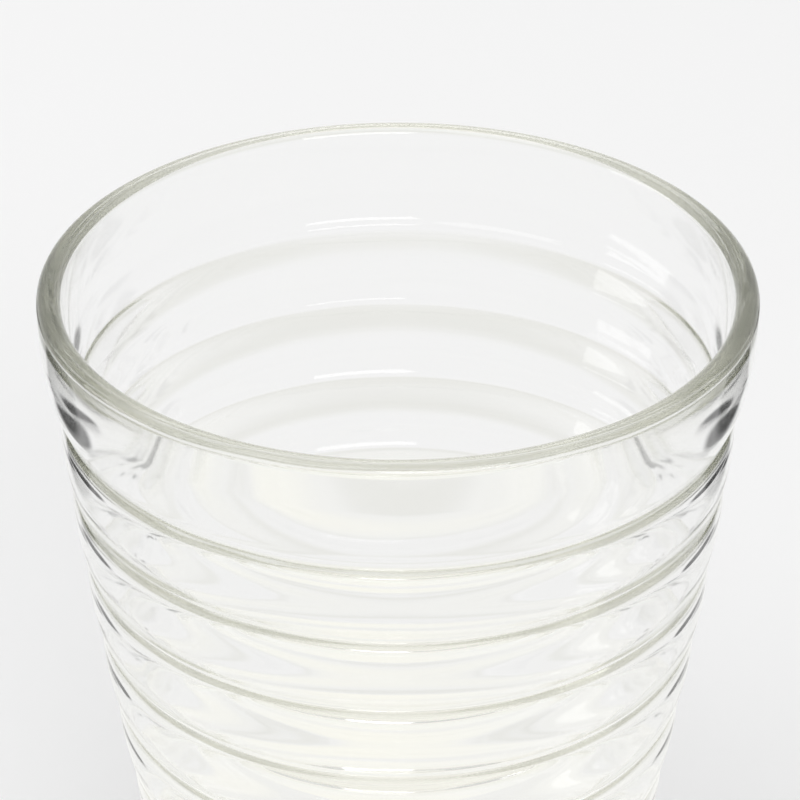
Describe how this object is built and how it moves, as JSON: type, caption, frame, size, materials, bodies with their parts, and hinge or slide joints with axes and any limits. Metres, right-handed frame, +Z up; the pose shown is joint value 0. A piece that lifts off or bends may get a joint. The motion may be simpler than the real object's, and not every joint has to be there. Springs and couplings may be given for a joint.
{
  "type": "tea glass",
  "caption": "Clear pressed-glass tea tumbler with a rounded lip, a plain rim band, stacked rings round the outside, soft waves on the tapered inside and a thick base.",
  "frame": {"origin": "middle of the bearing ring that the tumbler stands on, in the plane of the table", "axes": "+Z up along the tumbler's axis, out of its mouth; +X and +Y are any two square directions, because it is round"},
  "size_m": [0.08, 0.08, 0.102],
  "materials": {
    "glass": "clear pressed soda-lime glass with a faint olive tint, fire-polished smooth"
  },
  "bodies": {
    "root": {"tumbler": "glass"}
  },
  "joints": []
}
